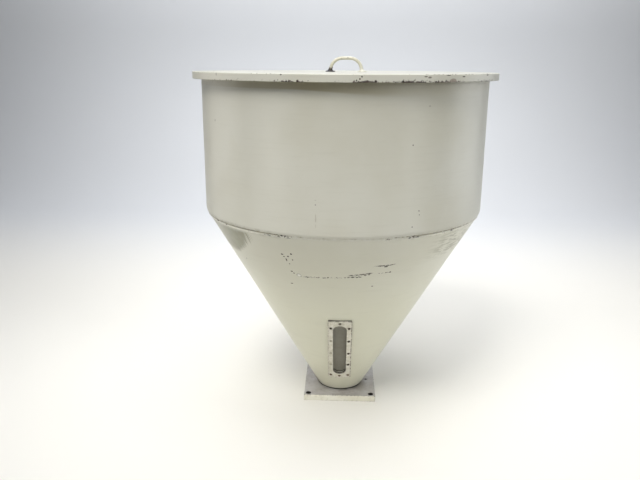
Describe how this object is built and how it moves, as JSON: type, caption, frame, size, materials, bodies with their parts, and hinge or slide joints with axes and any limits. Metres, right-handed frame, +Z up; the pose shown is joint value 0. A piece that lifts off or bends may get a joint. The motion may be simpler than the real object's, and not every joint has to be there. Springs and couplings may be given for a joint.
{
  "type": "material hopper",
  "caption": "Round steel material hopper: a barrel on a cone over a square base plate, with a sight window in the cone and a lift-off lid with a bent-rod handle.",
  "frame": {"origin": "centre of the base plate's underside", "axes": "+Z up, -Y towards the side with the sight window, +X to the right seen from there"},
  "size_m": [0.591, 0.591, 0.7112],
  "materials": {
    "machined_plate": "flat-ground mild steel, faint turning marks, light grime",
    "hopper_enamel": "cream-grey semi-gloss enamel, scuffed and chipped",
    "rim_enamel": "cream-grey enamel, worn where the lid rests",
    "lid_enamel": "cream-grey enamel, chipped to rusty steel along the edge",
    "handle_enamel": "cream enamel",
    "weld": "painted weld bead, dirty",
    "window_frame": "cream enamel, speckled with grime",
    "gasket": "black sheet rubber",
    "pane": "clear pane, scratched and dusty",
    "screws": "dull round-head screws",
    "burnt_weld": "bare heat-blued fillet weld"
  },
  "bodies": {
    "hopper": {"base_plate": "machined_plate", "outlet_weld": "weld", "cone_shell": "hopper_enamel", "cone_back_weld": "weld", "seam_weld": "weld", "barrel_shell": "hopper_enamel", "barrel_back_weld": "weld", "top_flange": "rim_enamel", "sight_frame": "window_frame", "sight_gasket": "gasket", "sight_pane": "pane", "sight_screw_01": "screws", "sight_screw_02": "screws", "sight_screw_03": "screws", "sight_screw_04": "screws", "sight_screw_05": "screws", "sight_screw_06": "screws", "sight_screw_07": "screws", "sight_screw_08": "screws", "sight_screw_09": "screws", "sight_screw_10": "screws", "sight_screw_11": "screws", "sight_screw_12": "screws"},
    "lid": {"lid_top": "lid_enamel", "lid_band": "lid_enamel", "lid_handle": "handle_enamel", "handle_foot_left": "burnt_weld", "handle_foot_right": "handle_enamel"}
  },
  "joints": [
    {"name": "lid_lift", "type": "slide", "parent": "hopper", "child": "lid", "axis": [0, 0, 1], "range_m": [0, 0.25]}
  ]
}
